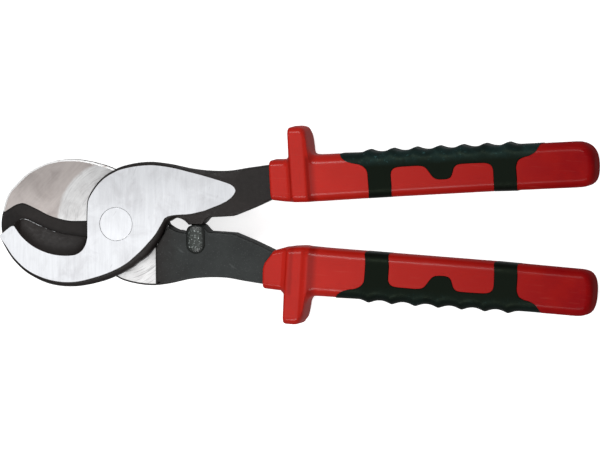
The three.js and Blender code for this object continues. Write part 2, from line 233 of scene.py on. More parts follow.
# How the steel falls from the ground face to the outline. Each row is a share of the way in
# from the outline, a further distance in, and a height above the lap plane.
FALLS = {
    "edge": [
        (0, 0, LAP_GAP), (0, 0.2, 0.42), (0.12, 0.4, 1.1), (0.35, 0.2, 1.9), (0.6, 0.1, 2.9),
        (0.85, 0, 4.4), (1, 0, HALF_HEAD),
    ],
    "tip": [
        (0, 0.3, LAP_GAP), (0, 0, 0.5), (0, 0, 3.0), (0.1, 0, 4.2), (0.4, 0, 5.2), (0.7, 0, 5.8),
        (1, 0, HALF_HEAD),
    ],
    "flank": [
        (0, 0.7, LAP_GAP), (0, 0, 0.6), (0, 0, 3.4), (0.12, 0, 4.6), (0.4, 0, 5.45),
        (0.7, 0, 5.9), (1, 0, HALF_HEAD),
    ],
    "shank": [
        (0, 0.45, LAP_GAP), (0, 0, 0.6), (0, 0, 4.2), (0, 0.35, 5.05), (0, 1.2, 5.4),
        (1, -1.8, 5.6), (1, 0, HALF_HEAD),
    ],
}
RIVET_RADIUS = 6.8
RIVET_HEAD = 2.2
SHAFT_RADIUS = 5.0
SHAFT_GAP = 0.15
HEAD_GAP = 0.12
RUBBED_RADIUS = 26.5
# The third finish paints a glint along edges, the fourth a shadow in the groove.
FORGED, GROUND, EDGE_GLINT, GROOVE_SHADOW = range(4)  # a lever's finishes, in the order it is painted with

# The stop stands wider and longer than its solid and a little aside, with a squarer upper end.
STOP_GROWTH = (0.35, 0.37)
STOP_SHIFT = (-0.55, -0.14, 0)
STOP_SQUARE = 0.7
STOP_POINTS = 64
STOP_LUMP = 0.14
# Its section: a share of its height, and how far its side has come in.
STOP_PROFILE = [
    (0.0, 0.0), (0.5, 0.0), (0.62, 0.12), (0.72, 0.4), (0.8, 0.8), (0.86, 1.2), (0.91, 1.6),
    (0.95, 2.05), (0.98, 2.5), (0.99, 2.9), (1.0, 3.25),
]

# Sections along a sleeve: place along the handle, inner and outer edge, half height, and the
# rounding of its inner, upper outer and lower outer corners. The mouth's rows lie along its
# line; the others are at their own place, and their inner edge has its own table.
MOUTH_ROWS = [
    (0.0, -7.0, 7.2, 6.3, 2.4, 2.4, 2.4),
    (0.12, -7.45, 7.65, 6.75, 2.7, 2.7, 2.7),
    (0.45, -7.75, 7.95, 7.05, 2.9, 2.9, 2.9),
    (1.0, -7.9, 8.1, 7.2, 3.0, 3.0, 3.0),
]
SLEEVE_ROWS = [
    (6.6, 8.4, 7.2, 3.0, 3.0, 3.0), (8.0, 8.7, 7.3, 3.1, 3.0, 3.2),
    (9.0, 9.5, 7.6, 3.3, 3.1, 3.6), (9.7, 11.0, 8.1, 3.4, 3.2, 4.2),
    (10.0, 20.8, 8.5, 3.2, 2.2, 5.6), (10.16, 21.35, 9.0, 3.4, 2.6, 6.0),
    (10.55, 21.65, 9.35, 3.5, 2.9, 6.3), (11.1, 21.8, 9.5, 3.6, 3.0, 6.5),
    (13.6, 21.8, 9.5, 3.8, 3.0, 6.5), (14.6, 21.6, 9.5, 3.8, 3.0, 6.5),
    (15.4, 21.35, 9.4, 3.9, 3.1, 6.5), (16.1, 20.9, 9.1, 4.0, 3.2, 6.3),
    (16.6, 20.1, 8.75, 4.2, 3.3, 6.1), (17.0, 19.2, 8.45, 4.4, 3.8, 5.8),
    (17.3, 14.0, 8.25, 4.6, 4.2, 5.2), (17.7, 11.6, 8.1, 4.7, 4.4, 5.0),
    (18.3, 10.4, 8.0, 4.7, 4.6, 4.9), (19.2, 9.85, 7.9, 4.8, 4.7, 4.8),
    (20.6, 9.65, 7.83, 4.8, 4.8, 4.8), (22.6, 9.6, 7.8, 4.8, 4.8, 4.8),
    (32.0, 9.5, 7.8, 4.8, 4.8, 4.8), (46.0, 9.4, 7.8, 4.8, 4.8, 4.8),
    (95.0, 9.3, 7.8, 4.8, 4.8, 4.8), (128.6, 9.2, 7.8, 4.8, 4.8, 4.8),
]
# A sleeve's inner edge along the handle, and how far its mouth and guard stand from the rows.
INNER_EDGE = {
    1: [
        (1.9, -7.9), (6.6, -8.7), (9.0, -8.97), (11.3, -9.13), (16.5, -9.36), (22.6, -9.4),
        (46.0, -9.2), (95.0, -9.2), (105.0, -9.5),
    ],
    -1: [
        (2.6, -8.5), (3.7, -8.9), (6.2, -9.3), (8.7, -9.74), (11.3, -10.1), (13.8, -10.3),
        (18.8, -10.25), (23.8, -10.15), (46.0, -10.1), (95.0, -10.0), (128.6, -9.5),
    ],
}
MOUTH_SWELL = {1: (0.0, 0.45), -1: (0.25, 0.0)}
GUARD_MOVES = {
    1: [(13.0, 0.0), (14.0, 0.5), (19.0, 0.5), (22.6, 0.0)],
    -1: [
        (6.6, -1.0), (8.0, -2.2), (12.0, -2.2), (14.6, -1.2), (16.6, -1.5), (17.0, -1.2),
        (17.7, -0.6), (18.3, -0.4), (22.6, 0.0),
    ],
}
# A sleeve's end: its place, how far before it the rounding starts, the radius of its edges,
# its sections' angles, and how fast its outer side falls away.
HANDLE_ENDS = {1: 137.45, -1: 136.4}
END_ROUND = 8.2
END_EDGE = 3.6
END_ANGLES = (12, 24, 36, 48, 58, 66, 73, 79, 84, 87)
END_POWERS = {1: 1.0, -1: 1.5}
OUTER_BELLY = {1: [(95.0, 0.0)], -1: [(95.0, 0.0), (128.6, 0.45)]}
# The sleeve's plain section, and what goes into it: the tang and the shank's root, each by its
# start, end, half width and half height, with the room left round them and under the grips.
HANDLE_IN = -9.5
HANDLE_OUT = 9.6
HALF_SLEEVE = 7.8
CORNER = 4.8
TANG = (-8.0, 118.0, 5.0, 3.5)
SOCKET = (-6.0, 4.0, 6.75, 5.5)
FIT = 0.15
BEYOND = 12  # past a handle's faces on both sides
# A grip's thickness, corner, ends and outer edge, and the crests of its finger rests.
GRIP_DEPTH = 1.8
GRIP_CORNER = 4.9
GRIP_START = 28.0
GRIP_END = 118.2
CORE_SPAN = (22.0, 124.0)
GRIP_OUT = [(28.0, 9.8), (40.0, 9.5), (110.0, 9.4), (118.0, 9.45)]
CREST_FIRST = 42.3
CREST_PITCH = 9.77
CREST_COUNT = 7
CREST_STEPS = 16

# The stage, in metres: each light's size, power and place, and how the camera stands.
LIGHTS = (
    ("inner_strip", (0.5, 0.1), 1.8, (0.03, 0.42, 0.46)),
    ("outer_strip", (0.5, 0.1), 1.5, (0.1, -0.42, 0.46)),
    ("overhead", (1.4, 1.4), 5.2, (0.0, 0.05, 1.25)),
)
CAMERA_AIM = (77.3, 0.3)  # in millimetres, like the outlines
CAMERA_LEAN = (math.tan(math.radians(12.5)), 0.0645)
CAMERA_ROLL = 0.0052
CAMERA_DISTANCE = 0.8
CAMERA_WIDTH = 0.246


# ------------------------ drawing
def smooth_run(rows, spacing):
    """A smooth run through rows of numbers, without its last row; the first two are a place."""
    points = []
    last = len(rows) - 1
    for i in range(last):
        here, there = rows[i], rows[i + 1]
        before, after = rows[max(i - 1, 0)], rows[min(i + 2, last)]
        steps = max(1, round(math.dist(here[:2], there[:2]) / spacing))
        for step in range(steps):
            t = step / steps
            points.append([
                0.5 * (2 * q + (r - p) * t + (2 * p - 5 * q + 4 * r - s) * t**2
                       + (3 * q - p - 3 * r + s) * t**3)
                for p, q, r, s in zip(before, here, there, after)
            ])
    return points


def closed_outline(runs, spacing=0.8):
    return [point for run in runs for point in smooth_run(run, spacing)]


def rectangle(left, right, low, high):
    return [(left, low), (right, low), (right, high), (left, high)]


def offset_outline(points, distance):
    """A closed outline, run anticlockwise, moved outwards by a distance."""
    moved = []
    for i, here in enumerate(points):
        before, after = Vector(points[i - 1][:2]), Vector(points[(i + 1) % len(points)][:2])
        here = Vector(here[:2])
        first, second = (here - before).normalized(), (after - here).normalized()
        normal = Vector((first.y + second.y, -first.x - second.x)).normalized()
        stretch = max(0.5, normal.dot(Vector((second.y, -second.x))))
        moved.append(here + normal * (distance / stretch))
    return [tuple(point) for point in moved]


def anticlockwise(points):
    """A closed outline, turned round if its area says that it runs clockwise."""
    area = sum(p[0] * q[1] - q[0] * p[1] for p, q in zip(points, points[1:] + points[:1])) / 2
    return points if area > 0 else points[::-1]


def fall_rows(run):
    """The rows of a lever's run as whole sections: a place and a height for each level."""
    rows = []
    for kind, x, y, rim_x, rim_y in run:
        across = math.dist((x, y), (rim_x, rim_y))
        row = []
        for share, inset, height in FALLS[kind]:
            way = min(1.0, max(0.0, share + inset / across))
            row += [x + (rim_x - x) * way, y + (rim_y - y) * way, height]
        rows.append(row)
    return rows


def section(along, inner, outer, half, inner_round, top_round, under_round, segments=7):
    """A rounded rectangle across a handle, as (along, across, height) points."""
    corners = [
        (inner + inner_round, half - inner_round, inner_round, 180, -1),
        (outer - under_round, half - under_round, under_round, 270, -1),
        (outer - top_round, half - top_round, top_round, 0, 1),
        (inner + inner_round, half - inner_round, inner_round, 90, 1),
    ]
    ring = []
    for across, height, round_, start, side in corners:
        for i in range(segments + 1):
            angle = math.radians(start + 90 * i / segments)
            ring.append((along, across + round_ * math.cos(angle),
                         side * height + round_ * math.sin(angle)))
    filled = []
    for i, here in enumerate(ring):
        there = ring[(i + 1) % len(ring)]
        filled.append(here)
        if (i + 1) % (segments + 1) == 0:
            filled += [tuple(p + (q - p) * quarter / 4 for p, q in zip(here, there))
                       for quarter in (1, 2, 3)]
    return filled


def handle_matrix(side):
    """A handle's own axes: X along it, Y outwards and Z up, mirrored for the lower handle."""
    turn = Matrix.Rotation(math.radians(HANDLE_TURNS[side]), 4, "Z")
    move = Matrix.Translation(Vector((*HANDLE_START, 0)) * MM)
    lift = Matrix.Translation((0, 0, LAP_PLANE * MM))
    return lift @ Matrix.Diagonal((1, side, 1, 1)) @ move @ turn


def between(table, place):
    """The value at a place in a table of (place, value) rows, in straight steps."""
    for (low, first), (high, second) in zip(table, table[1:]):
        if place <= high:
            share = max(0.0, (place - low) / (high - low))
            return first + (second - first) * share
    return table[-1][1]


# ------------------------ modelling
def deselect_all():
    if bpy.context.object and bpy.context.object.mode != "OBJECT":
        bpy.ops.object.mode_set(mode="OBJECT")
    bpy.ops.object.select_all(action="DESELECT")


def choose(piece):
    deselect_all()
    piece.select_set(True)
    bpy.context.view_layer.objects.active = piece


def loft(name, rings):
    """A closed skin through equal rings of points in millimetres, extruded from ring to ring."""
    deselect_all()
    bpy.ops.mesh.primitive_circle_add(vertices=len(rings[0]), radius=10 * MM, fill_type="NGON")
    piece = bpy.context.object
    piece.name = name
    bpy.ops.object.mode_set(mode="EDIT")
    mesh = bmesh.from_edit_mesh(piece.data)
    order = mesh.verts.layers.int.new("order")
    for i, vertex in enumerate(mesh.verts):
        vertex[order] = i
        vertex.co = Vector(rings[0][i]) * MM
    for ring in rings[1:]:
        bpy.ops.mesh.extrude_region_move()
        mesh = bmesh.from_edit_mesh(piece.data)
        order = mesh.verts.layers.int["order"]
        for vertex in mesh.verts:
            if vertex.select:
                vertex.co = Vector(ring[vertex[order]]) * MM
    mesh.verts.layers.int.remove(order)
    bmesh.update_edit_mesh(piece.data)
    bpy.ops.mesh.select_all(action="SELECT")
    bpy.ops.mesh.remove_doubles(threshold=0.002 * MM)
    bpy.ops.mesh.normals_make_consistent(inside=False)
    bpy.ops.object.mode_set(mode="OBJECT")
    return piece


def slab(name, outline, low, high):
    """An upright slab over a flat outline, between two heights in millimetres."""
    return loft(name, [[(x, y, low) for x, y in outline], [(x, y, high) for x, y in outline]])


def bevel_rim(piece, height, width, segments):
    """Rounds the edges of the flat face at a height."""
    choose(piece)
    bpy.ops.object.mode_set(mode="EDIT")
    bpy.ops.mesh.select_mode(type="EDGE")
    bpy.ops.mesh.select_all(action="DESELECT")
    mesh = bmesh.from_edit_mesh(piece.data)
    for edge in mesh.edges:
        edge.select_set(all(abs(v.co.z / MM - height) < 0.01 for v in edge.verts))
    bpy.ops.mesh.bevel(offset=width * MM, segments=segments, affect="EDGES")
    bpy.ops.object.mode_set(mode="OBJECT")


def modify(piece, kind, **settings):
    """Adds a modifier to a piece and applies it."""
    choose(piece)
    bpy.ops.object.modifier_add(type=kind)
    modifier = piece.modifiers[-1]
    for key, value in settings.items():
        setattr(modifier, key, value)
    bpy.ops.object.modifier_apply(modifier=modifier.name)


def combine(piece, other, operation):
    """Joins or cuts a piece with another by a boolean; the cut faces take the other's finish."""
    modify(piece, "BOOLEAN", operation=operation, solver="EXACT",
           material_mode="TRANSFER", object=other)
    bpy.data.objects.remove(other)
    return piece


def place(piece, matrix):
    """Moves a finished mesh to its place and leaves its object at the origin."""
    choose(piece)
    piece.matrix_world = matrix
    bpy.ops.object.transform_apply(location=True, rotation=True, scale=True)
    bpy.ops.object.mode_set(mode="EDIT")
    bpy.ops.mesh.select_all(action="SELECT")
    bpy.ops.mesh.normals_make_consistent(inside=False)
    bpy.ops.object.mode_set(mode="OBJECT")
    return piece


def smooth(piece, degrees):
    choose(piece)
    bpy.ops.object.shade_smooth_by_angle(angle=math.radians(degrees))
    modify(piece, "WEIGHTED_NORMAL", keep_sharp=True)
    return piece


def paint(piece, materials, chooser=None):
    """Gives a piece its materials; the chooser says which one a face in millimetres takes."""
    piece.data.materials.clear()
    for material in materials:
        piece.data.materials.append(material)
    for face in piece.data.polygons:
        face.material_index = chooser(face.center / MM, face.normal) if chooser else 0


def install(piece, body, node):
    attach(piece, body)
    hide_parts(node)


# ------------------------ shaders
def math_node(operation, reflected=False):
    """An operator of Number that adds a Math node."""
    def operator(self, other):
        values = (other, self) if reflected else (self, other)
        return self.shader.maths(operation, *values)
    return operator


class Number:
    """A number in a material's nodes, so that shader maths reads as arithmetic."""

    def __init__(self, shader, socket):
        self.shader = shader
        self.socket = socket

    __add__, __radd__ = math_node("ADD"), math_node("ADD", True)
    __sub__, __rsub__ = math_node("SUBTRACT"), math_node("SUBTRACT", True)
    __mul__, __rmul__ = math_node("MULTIPLY"), math_node("MULTIPLY", True)
    __pow__ = math_node("POWER")


class Shader:
    """A material under construction."""

    def __init__(self, name):
        self.material = bpy.data.materials.new(name)
        self.material.use_nodes = True
        self.tree = self.material.node_tree
        self.surface = self.tree.nodes["Principled BSDF"]
        self.place = self.make("ShaderNodeTexCoord", {}, {}, "Object")

    def make(self, kind, settings, values, output=0):
        """Adds a node: its settings first, then the values or links of its sockets."""
        node = self.tree.nodes.new(kind)
        for key, value in settings.items():
            setattr(node, key, value)
        for key, value in values.items():
            self.feed(node.inputs[key], value)
        return Number(self, node.outputs[output])

    def feed(self, socket, value):
        if isinstance(value, Number):
            self.tree.links.new(value.socket, socket)
        elif socket.type == "RGBA":
            socket.default_value = (*value[:3], 1.0)
        else:
            socket.default_value = value

    def turned(self, scale, turn=0.0, move=(0, 0, 0)):
        """Object coordinates turned about Z and stretched."""
        return self.make(
            "ShaderNodeMapping", {"vector_type": "POINT"},
            {"Vector": self.make("ShaderNodeVectorRotate", {"rotation_type": "Z_AXIS"},
                                 {"Vector": self.place, "Angle": turn}),
             "Scale": scale, "Location": move},
        )

    def noise(self, scale, detail=2.0, roughness=0.5, vector=None, distortion=0.0):
        return self.make(
            "ShaderNodeTexNoise", {},
            {"Vector": vector or self.place, "Scale": scale, "Detail": detail,
             "Roughness": roughness, "Distortion": distortion},
        )

    def spread(self, value, low, high, start=0.0, end=1.0):
        """Maps a value from low..high to start..end, held at both ends."""
        return self.make(
            "ShaderNodeMapRange", {"clamp": True},
            {"Value": value, "From Min": low, "From Max": high, "To Min": start, "To Max": end},
        )

    def mixed(self, kind, share, first, second):
        return self.make(
            "ShaderNodeMix", {"data_type": "RGBA", "blend_type": kind},
            {0: share, 6: first, 7: second}, output=2,
        )

    def blend(self, share, first, second):
        return self.mixed("MIX", share, first, second)

    def maths(self, operation, *values):
        return self.make("ShaderNodeMath", {"operation": operation}, dict(enumerate(values)))

    def axis(self, name):
        return self.make("ShaderNodeSeparateXYZ", {}, {"Vector": self.place}, name)

    def handle_axes(self):
        """The place along either handle and outwards from its centre line, in metres."""
        turn = math.radians((HANDLE_TURNS[1] + HANDLE_TURNS[-1]) / 2)
        along = self.axis("X") - HANDLE_START[0] * MM
        outwards = self.maths("ABSOLUTE", self.axis("Y")) - HANDLE_START[1] * MM
        return (along * math.cos(turn) + outwards * math.sin(turn),
                outwards * math.cos(turn) - along * math.sin(turn))

    def bump(self, height, strength, distance):
        return self.make("ShaderNodeBump", {},
                         {"Height": height, "Strength": strength, "Distance": distance * MM})

    def finish(self, **values):
        for key, value in values.items():
            self.feed(self.surface.inputs[key.replace("_", " ")], value)
        return self.material


def tint(colour, share):
    """A colour made darker or lighter."""
    return tuple(min(1.0, part * share) for part in colour)


def ground_steel(name, colour, turn, patches, contrast, shade=1.0, rubbed=None):
    """Steel off a belt grinder: fine parallel marks, short scratches and handling smudges.

    It is darkened towards +Y by painted shade, as far as the shade factor. Where the levers have
    swept over each other it shows the rubbed colour, with rings about the rivet.
    """
    shader = Shader(name)
    fine = shader.noise(1.0, 3.0, 0.6, shader.turned((2100, 120, 120), turn))
    coarse = shader.noise(1.0, 3.0, 0.55, shader.turned((620, 60, 60), turn, (3, 1, 2)))
    smudge = shader.noise(95.0, 5.0, 0.66, distortion=0.9)
    shade_edge_noise = shader.noise(38.0, 3.0, 0.55, distortion=0.4)
    nick = shader.noise(1.0, 2.0, 0.5, shader.turned((1100, 150, 60), turn + 0.5, (9, 4, 0)))
    streaks = shader.spread(fine * 0.55 + coarse * 0.45, 0.38, 0.62)
    cloud = shader.spread(smudge, 0.44, 0.66)
    nicks = shader.spread(nick, 0.68, 0.76)
    north = shader.axis("Y")
    base = colour
    if rubbed:
        east = shader.axis("X")
        reach = (east * east + north * north) ** 0.5
        swept = shader.spread(reach + (smudge - 0.5) * (2.4 * MM),
                              RUBBED_RADIUS * MM, (RUBBED_RADIUS - 1.2) * MM)
        polar = shader.make("ShaderNodeCombineXYZ", {},
                            {0: reach * 2100.0, 1: shader.maths("ARCTAN2", north, east) * 2.5})
        rings = shader.spread(shader.noise(1.0, 2.0, 0.6, polar), 0.54, 0.66)
        bare = shader.spread(north, -3 * MM, -9 * MM)
        bright = shader.blend(rings * (0.3 + 0.45 * bare), rubbed, tint(rubbed, 0.4))
        base = shader.blend(shader.maths("MAXIMUM", swept, bare), base, bright)
    # Painted shade: darker towards +Y, from -6 to 22 mm, down to the shade factor, with a noisy
    # edge.
    painted_shade_ramp = shader.spread(north + (shade_edge_noise - 0.5) * (26 * MM), -6 * MM, 22 * MM)
    shaded = shader.mixed("MULTIPLY", painted_shade_ramp, base, (shade,) * 3)
    grooves = contrast * 2.2 * (1 - streaks)
    brushed = shader.mixed("MULTIPLY", grooves, shaded, (0.6, 0.6, 0.61))
    worn = shader.mixed("MULTIPLY", cloud * patches, brushed, (0.68, 0.66, 0.66))
    marked = shader.mixed("MULTIPLY", nicks * 0.3, worn, (0.5, 0.5, 0.5))
    return shader.finish(
        Base_Color=marked,
        Metallic=0.8,
        Roughness=0.32 + 0.10 * streaks + 0.10 * cloud,
        Normal=shader.bump(fine * 0.6 + coarse * 0.4 - nicks * 0.4, 0.22, 0.02),
    )


def edge_glint_steel(name, bright, dark, worn=0.5, metal=0.8):
    """A steel land along an edge, painted as a broken bright glint: bright steel, with the dark
    colour between the breaks.
    """
    shader = Shader(name)
    # worn sets how much of the painted glint is broken by the dark colour.
    breaks = shader.spread(shader.noise(420.0, 3.0, 0.6), worn - 0.06, worn + 0.06)
    grain = shader.noise(1500.0, 2.0, 0.5)
    return shader.finish(
        Base_Color=shader.blend(breaks, dark, bright),
        Metallic=metal * breaks,
        Roughness=0.3 + 0.2 * grain,
        Normal=shader.bump(grain, 0.2, 0.02),
    )


def forged_steel(name, colour, lift, root=None):
    """Black oxide over a shot-blasted forging: fine pits, faint warm and green clouds.

    Beside the joint it may take a second colour, blended in from X of 29 mm to 17 mm.
    """
    shader = Shader(name)
    grain = shader.noise(2300.0, 3.0, 0.6)
    pits = shader.noise(620.0, 2.0, 0.5)
    cloud = shader.spread(shader.noise(70.0, 3.0, 0.6), 0.35, 0.68)
    scrape = shader.noise(1.0, 2.0, 0.5, shader.turned((190, 700, 200), 0.5))
    scuff = shader.spread(scrape, 0.66, 0.78)
    tone = shader.blend(cloud, tint(colour, 0.75), tint(colour, 1.25))
    if root:
        near = shader.spread(shader.axis("X") + (cloud - 0.5) * (5 * MM), 29 * MM, 17 * MM)
        tone = shader.blend(near * 0.9, tone, root)
    speck = shader.blend(shader.spread(grain, 0.62, 0.74) * 0.5 + scuff * 0.25, tone, lift)
    return shader.finish(
        Base_Color=speck,
        Metallic=0.0,
        Specular_IOR_Level=0.3,
        Roughness=0.46 + 0.16 * shader.spread(pits, 0.3, 0.7),
        Normal=shader.bump(grain * 0.5 + pits * 0.5, 0.35, 0.08),
    )


def stop_steel(name, colour, painted_glint, centre, straight, reach):
    """The stop's rough oxide, with painted shadow round its foot and painted glints on its crown.
    """
    shader = Shader(name)
    from_middle = shader.maths("ABSOLUTE", shader.axis("Y") - centre.y * MM)
    past_end = shader.maths("MAXIMUM", from_middle - straight * MM, 0.0)
    across = shader.axis("X") - centre.x * MM
    out = (across * across + past_end * past_end) ** 0.5
    # Mask for the painted light: near 1 on the crown, falling to 0 round the foot.
    lit_crown = shader.spread(out, 0.84 * reach * MM, 0.5 * reach * MM)
    grit = shader.noise(1250.0, 4.0, 0.65)
    lump = shader.noise(420.0, 3.0, 0.6)
    # Painted shadow: near-black round the foot.
    tone = shader.blend(lit_crown, tint(colour, 0.3), colour)
    # Painted glints, speckled over the crown.
    return shader.finish(
        Base_Color=shader.blend(lit_crown * shader.spread(grit, 0.57, 0.68) * 0.85, tone, painted_glint),
        Metallic=0.0,
        Specular_IOR_Level=0.5,
        Roughness=0.24 + 0.22 * shader.spread(lump, 0.3, 0.7),
        Normal=shader.bump(grit * 0.5 + lump * 0.5, 0.6, 0.35),
    )


def red_insulation(name, near, far_shaded, end_shade_start, end_shade_end):
    """Moulded red insulation: semi-gloss, faint orange peel, hairline scuffs, darker to the ends
    by painted shade.

    Painted shade darkens the corners beside the guards.
    """
    shader = Shader(name)
    peel = shader.noise(900.0, 2.0, 0.5)
    ripple = shader.noise(110.0, 2.0, 0.5)
    along, outwards = shader.handle_axes()
    # Painted shade: the red darkens to the far colour towards the handles' ends; the coat thins
    # along the same ramp.
    end_shade_ramp = shader.spread(shader.axis("X") + (ripple - 0.5) * (14 * MM), end_shade_start, end_shade_end)
    scrape = shader.noise(1.0, 2.0, 0.5, shader.turned((90, 1400, 200), 0.07))
    scuff = shader.spread(scrape, 0.64, 0.8)
    base = shader.blend(end_shade_ramp, near, far_shaded)
    mottle = shader.blend(shader.spread(ripple, 0.35, 0.7) * 0.35, base, tint(near, 0.8))
    worn = shader.blend(scuff * 0.08, mottle, (0.62, 0.16, 0.12))

    def strip(start, full, ebb, end):
        return (shader.spread(along, start * MM, full * MM)
                * shader.spread(along, end * MM, ebb * MM))

    # Painted shade in the corners on both sides of each guard, over the body's face.
    fillet_shade = strip(16.3, 17.2, 18.6, 21.0) * 0.6 + strip(8.2, 9.8, 10.4, 11.2) * 0.35
    body = shader.spread(outwards, 10.5 * MM, 8.5 * MM)
    fillet_shaded = shader.mixed("MULTIPLY", fillet_shade * body, worn, (0.35, 0.2, 0.2))
    return shader.finish(
        Base_Color=fillet_shaded,
        Roughness=0.30 + 0.10 * shader.spread(ripple, 0.3, 0.7) + 0.18 * scuff,
        Specular_IOR_Level=0.0,
        Coat_Weight=0.44 - 0.33 * end_shade_ramp,
        Coat_Roughness=0.24,
        Normal=shader.bump(peel * 0.25 + ripple * 0.75, 0.16, 0.25),
    )


def soft_black(name, colour, painted_sheen):
    """Soft black elastomer: a fine dry grain, with a painted teal sheen and painted glints on the
    finger rests.
    """
    shader = Shader(name)
    grain = shader.make("ShaderNodeTexVoronoi", {"feature": "F1"},
                        {"Vector": shader.place, "Scale": 1900.0})
    soft = shader.noise(240.0, 3.0, 0.6)
    sheen_patches = shader.spread(shader.noise(120.0, 4.0, 0.65, distortion=0.4), 0.42, 0.66)
    outwards = shader.handle_axes()[1]
    # Painted sheen along the grips' outer rounding, fainter towards -Y, on the lower handle.
    sheen_band = (shader.spread(outwards, 3.6 * MM, 6.4 * MM)
            * shader.spread(shader.axis("Y"), -10 * MM, 10 * MM, 0.25, 1.0))
    glint_flecks = shader.spread(shader.noise(700.0, 3.0, 0.7), 0.6, 0.7)
    # Painted sheen in patches, and painted glints as bright flecks in it.
    tone = shader.blend(sheen_band * (0.35 + 0.65 * sheen_patches), colour, painted_sheen)
    sheen_and_glints = shader.blend(sheen_band * glint_flecks * sheen_patches * 0.7, tone, tint(painted_sheen, 7.0))
    return shader.finish(
        Base_Color=sheen_and_glints,
        Roughness=0.34 + 0.2 * shader.spread(soft, 0.3, 0.7),
        Specular_IOR_Level=0.1,
        Specular_Tint=(0.65, 0.85, 0.55),
        Normal=shader.bump(grain * 0.5 + soft * 0.5, 0.3, 0.12),
    )


# ------------------------ pieces
def lever_half(name, runs):
    """The part of a lever above its lap plane, from its outline up to its ground face."""
    points = closed_outline([fall_rows(run) for run in runs])
    levels = len(FALLS["edge"])
    return loft(name, [[tuple(p[3 * k:3 * k + 3]) for p in points] for k in range(levels)])


def shank_half(name, runs):
    """The part of a shank below the lap plane, up to its shoulder beside the joint disc."""
    shank = [[row[1:3] for row in run] for run in runs[SHANK_SPAN]]
    shank[-1].pop()
    foot = [[shank[-1][-1], SHOULDER_FOOT], [SHOULDER_FOOT, SHOULDER[0]]]
    outline = anticlockwise(closed_outline([SHANK_OUTER, *shank, *foot, SHOULDER]))
    return loft(name, [[(x, y, height) for x, y in offset_outline(outline, -inset)]
                       for inset, height in SHANK_BACK_ROWS])


def cylinder(name, radius, low, high, chamfer=0.0):
    """An upright cylinder on the rivet's axis, its upper and lower rims chamfered."""
    deselect_all()
    bpy.ops.mesh.primitive_cylinder_add(
        vertices=96, radius=radius * MM, depth=(high - low) * MM,
        location=(0, 0, (low + high) / 2 * MM),
    )
    piece = bpy.context.object
    piece.name = name
    bpy.ops.object.transform_apply(location=True)
    if chamfer:
        for height in (low, high):
            bevel_rim(piece, height, chamfer, 2)
    return piece


def build_lever(name, runs, side):
    lever = combine(lever_half(name, runs), shank_half("shank_back", runs), "UNION")
    start, end, half_width, half_height = TANG
    tang = slab("tang", rectangle(start, end, -half_width, half_width), -half_height, half_height)
    place(tang, Matrix.Translation((0, 0, -LAP_PLANE * MM)) @ handle_matrix(1))
    combine(lever, tang, "UNION")
    head_floor = HALF_HEAD - RIVET_HEAD - SHAFT_GAP
    for cutter in (
        cylinder("shaft_bore", SHAFT_RADIUS + SHAFT_GAP, -10, 10),
        cylinder("head_bore", RIVET_RADIUS + HEAD_GAP, head_floor, 10),
        slab("shadow_line_groove", rectangle(*SHADOW_LINE_GROOVE), -1, SHADOW_LINE_GROOVE_DEPTH),
    ):
        combine(lever, cutter, "DIFFERENCE")
    turned = Matrix.Rotation(0 if side > 0 else math.pi, 4, "X")
    return place(lever, Matrix.Translation((0, 0, LAP_PLANE * MM)) @ turned)


def lever_face(side):
    """Chooses a face's finish by its height over the lap plane and by the way it leans."""
    def choose_finish(centre, normal):
        height = (centre.z - LAP_PLANE) * side
        flat = abs(normal.z) > 0.9
        if flat and (height > HALF_HEAD - 0.05 or 0.1 < height < 0.2):
            return GROUND
        # The chamfer round the lap face: a rim on the rear lever and a land on the front jaw, in
        # places painted with a broken bright glint.
        if 0.2 < height < 0.58 and 0.2 < abs(normal.z) < 0.95:
            if side < 0:
                return EDGE_GLINT if centre.x < 2 and centre.y > 4 else FORGED
            if centre.x < -12.4 and abs(centre.y) < 7.5:
                return EDGE_GLINT if centre.x < -27 else FORGED
            return GROUND
        # The groove's floor takes a painted shadow.
        return GROOVE_SHADOW if flat and 0.6 < height < 0.8 else FORGED
    return choose_finish


def sleeve_rings(side):
    mouth = UPPER_MOUTH if side > 0 else LOWER_MOUTH
    inwards, outwards = MOUTH_SWELL[side]
    rings = []
    for along, inner, outer, *shape in MOUTH_ROWS:
        ring = section(along, inner - inwards, outer + outwards, *shape)
        rings.append([(u + between(mouth, v), v, w) for u, v, w in ring])
    for along, outer, *shape in SLEEVE_ROWS:
        along += between(GUARD_MOVES[side], along)
        outer += between(OUTER_BELLY[side], along)
        rings.append(section(along, between(INNER_EDGE[side], along), outer, *shape))
    end_outer = HANDLE_OUT - 0.4 + OUTER_BELLY[side][-1][1]
    for degrees in END_ANGLES:
        angle = math.radians(degrees)
        pull = 1 - math.cos(angle)
        left = END_ROUND * (1 - math.sin(angle))
        flat = math.sqrt(END_EDGE**2 - max(0.0, END_EDGE - left) ** 2)
        half = HALF_SLEEVE - END_EDGE + flat
        inner = HANDLE_IN + 7.2 * pull**1.5
        outer = end_outer - 7.0 * pull ** END_POWERS[side]
        corner = min(CORNER - 1.6 * pull, half - 0.1, (outer - inner) / 2 - 0.1)
        rings.append(section(HANDLE_ENDS[side] - left, inner, outer, half, *(corner,) * 3))
    return rings


def crest_rise(along):
    """How far a grip's edge stands out there, as a share: pointed crests between finger rests."""
    turns = (along - CREST_FIRST) / CREST_PITCH
    if turns < -0.5 or turns > CREST_COUNT - 0.5:
        return 0.0
    return 1 - abs(math.sin(math.pi * turns))


def grip_skin(name, side, crest, half):
    rings = []
    along = GRIP_START
    while along < GRIP_END:
        inner = between(INNER_EDGE[side], along) - 0.05
        outer = between(GRIP_OUT, along) + crest * crest_rise(along)
        rings.append(section(along, inner, outer, half, *(GRIP_CORNER,) * 3))
        along += CREST_PITCH / CREST_STEPS
    return loft(name, rings)


